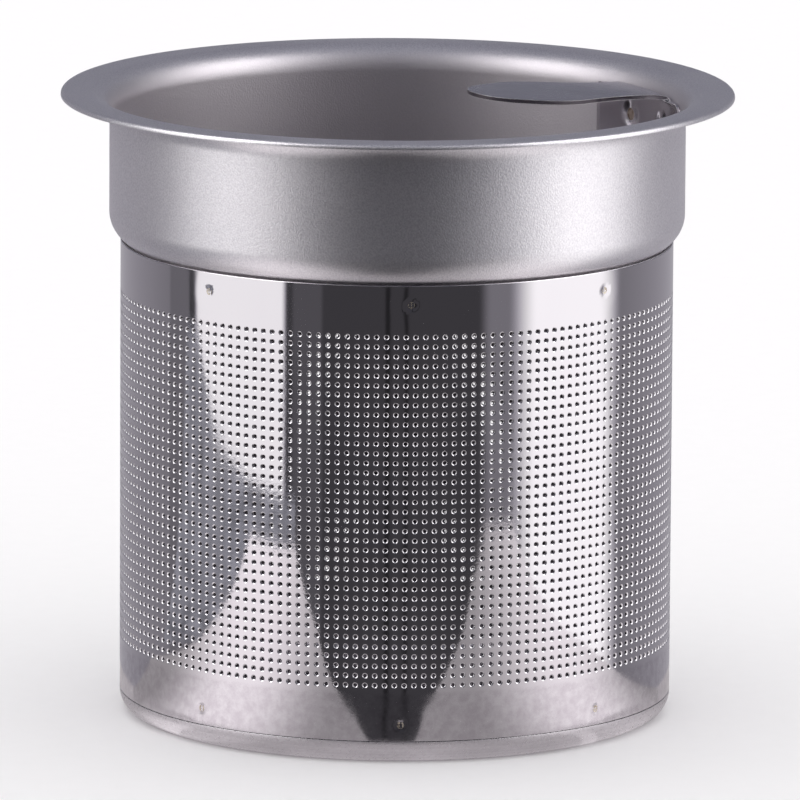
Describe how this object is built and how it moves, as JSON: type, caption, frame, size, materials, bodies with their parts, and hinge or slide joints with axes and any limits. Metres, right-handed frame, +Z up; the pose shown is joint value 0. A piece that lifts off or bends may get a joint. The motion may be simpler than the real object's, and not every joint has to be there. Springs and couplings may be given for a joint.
{
  "type": "basket strainer",
  "caption": "Round perforated steel strainer basket with a flanged rim, a stepped collar, a rounded base and a leaf-shaped grip tab.",
  "frame": {"origin": "centre of the flat resting face, under the basket's axis", "axes": "+Z up along the basket's axis, towards the open mouth; the grip tab stands 26 degrees from +X towards +Y, and the sleeve's lap seam is at +Y"},
  "size_m": [0.08, 0.08, 0.0747],
  "materials": {
    "satin_steel": "fine bead-blasted satin stainless steel",
    "polished_steel": "mirror-polished stainless steel with fine round perforations",
    "base_steel": "satin stainless steel with fine spun lines",
    "tab_steel": "smooth mill-finish stainless steel with bright cut edges",
    "weld_steel": "pressed spot weld in stainless steel"
  },
  "bodies": {
    "root": {"rim_collar": "satin_steel", "perforated_sleeve": "polished_steel", "base_pan": "base_steel", "grip_tab": "tab_steel", "collar_spot_welds": "weld_steel", "base_spot_welds": "weld_steel", "tab_spot_welds": "weld_steel", "seam_spot_welds": "weld_steel"}
  },
  "joints": []
}
